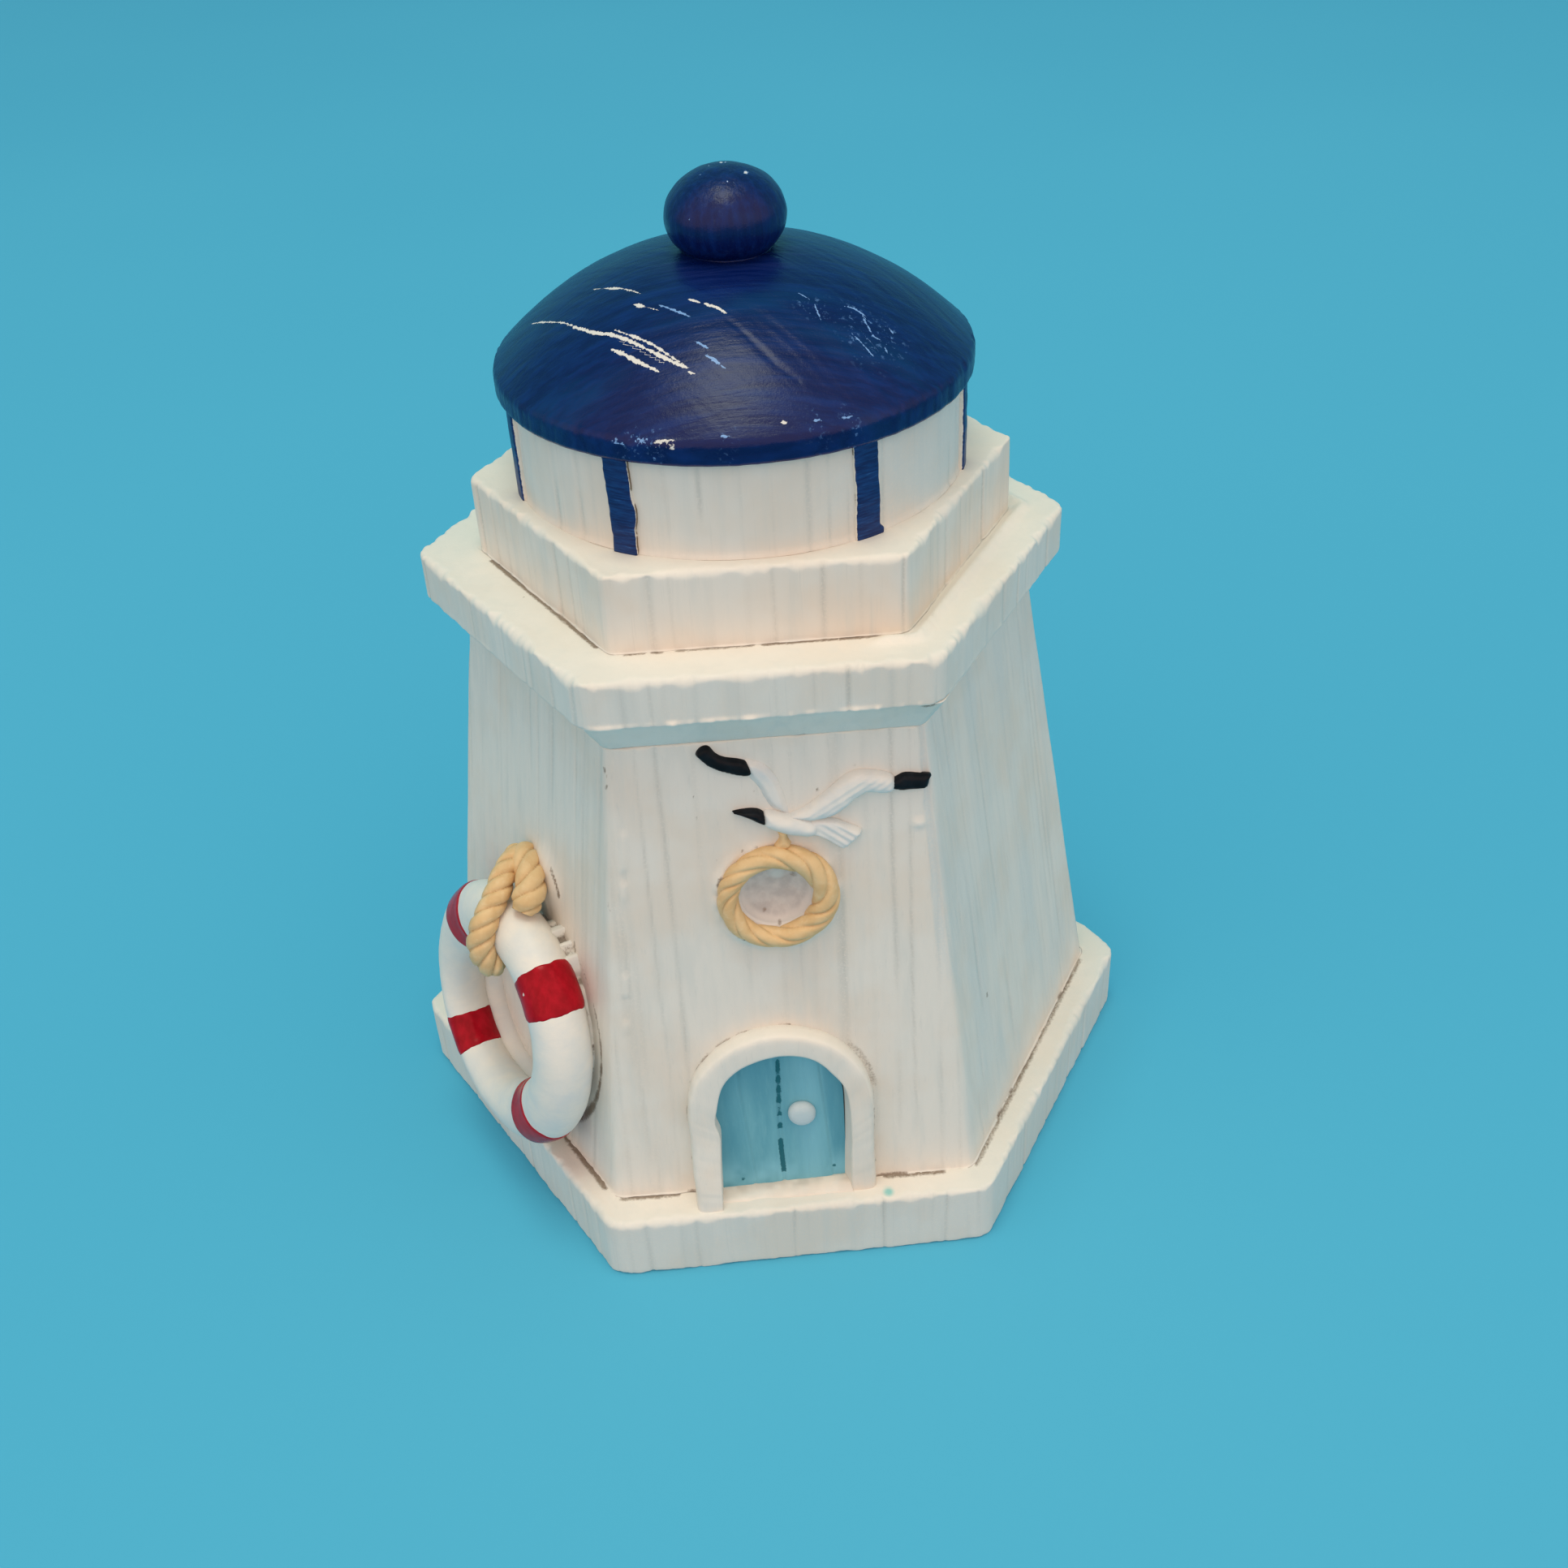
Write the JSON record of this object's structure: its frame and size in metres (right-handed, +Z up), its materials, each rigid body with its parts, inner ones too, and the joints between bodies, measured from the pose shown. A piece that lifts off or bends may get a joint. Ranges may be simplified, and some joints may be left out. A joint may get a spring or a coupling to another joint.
{
  "type": "lighthouse figurine",
  "caption": "Small painted lighthouse with a six-sided tapered tower, stepped gallery, round lantern, domed roof, door, porthole and life ring, standing on a flat base.",
  "frame": {"origin": "centre of the plinth's underside, on the tower's axis", "axes": "+Z up along the tower's axis, -Y out of the front face, which holds the door, +X to the right seen from the front"},
  "size_m": [0.0636, 0.0559, 0.0795],
  "materials": {
    "whitewash": "matt whitewash over cast resin, upright grain, brown wash in the creases",
    "white_paint": "satin white paint",
    "navy_gloss": "brushed gloss navy enamel with scratches",
    "navy_satin": "satin navy enamel, ragged edges",
    "teal_paint": "thin teal paint over planks",
    "dish_wash": "white paint with grey-pink wash",
    "rope_tan": "satin tan paint with brown wash between strands",
    "black_gloss": "gloss black paint",
    "red_gloss": "gloss red paint"
  },
  "bodies": {
    "root": {"plinth": "whitewash", "tower_body": "whitewash", "bed_moulding": "whitewash", "gallery_slab": "whitewash", "upper_tier": "whitewash", "lantern_drum": "whitewash", "mullion_front_left": "navy_satin", "mullion_front_right": "navy_satin", "mullion_right": "navy_satin", "mullion_rear_right": "navy_satin", "mullion_rear": "navy_satin", "mullion_rear_left": "navy_satin", "mullion_left": "navy_satin", "dome_roof": "navy_gloss", "ball_finial": "navy_gloss", "door_surround": "whitewash", "door_leaf": "teal_paint", "door_knob": "white_paint", "door_sill": "whitewash", "porthole_dish": "dish_wash", "rope_wreath": "rope_tan", "wreath_tab": "rope_tan", "gull_body": "white_paint", "gull_face": "black_gloss", "gull_left_wing": "white_paint", "gull_left_tip": "black_gloss", "gull_right_wing": "white_paint", "gull_right_tip": "black_gloss", "gull_tail": "white_paint", "ring_mount": "white_paint", "life_ring": "white_paint", "ring_band_front_top": "red_gloss", "ring_band_back_top": "red_gloss", "ring_band_back_bottom": "red_gloss", "ring_band_front_bottom": "red_gloss", "ring_rope": "rope_tan"}
  },
  "joints": []
}
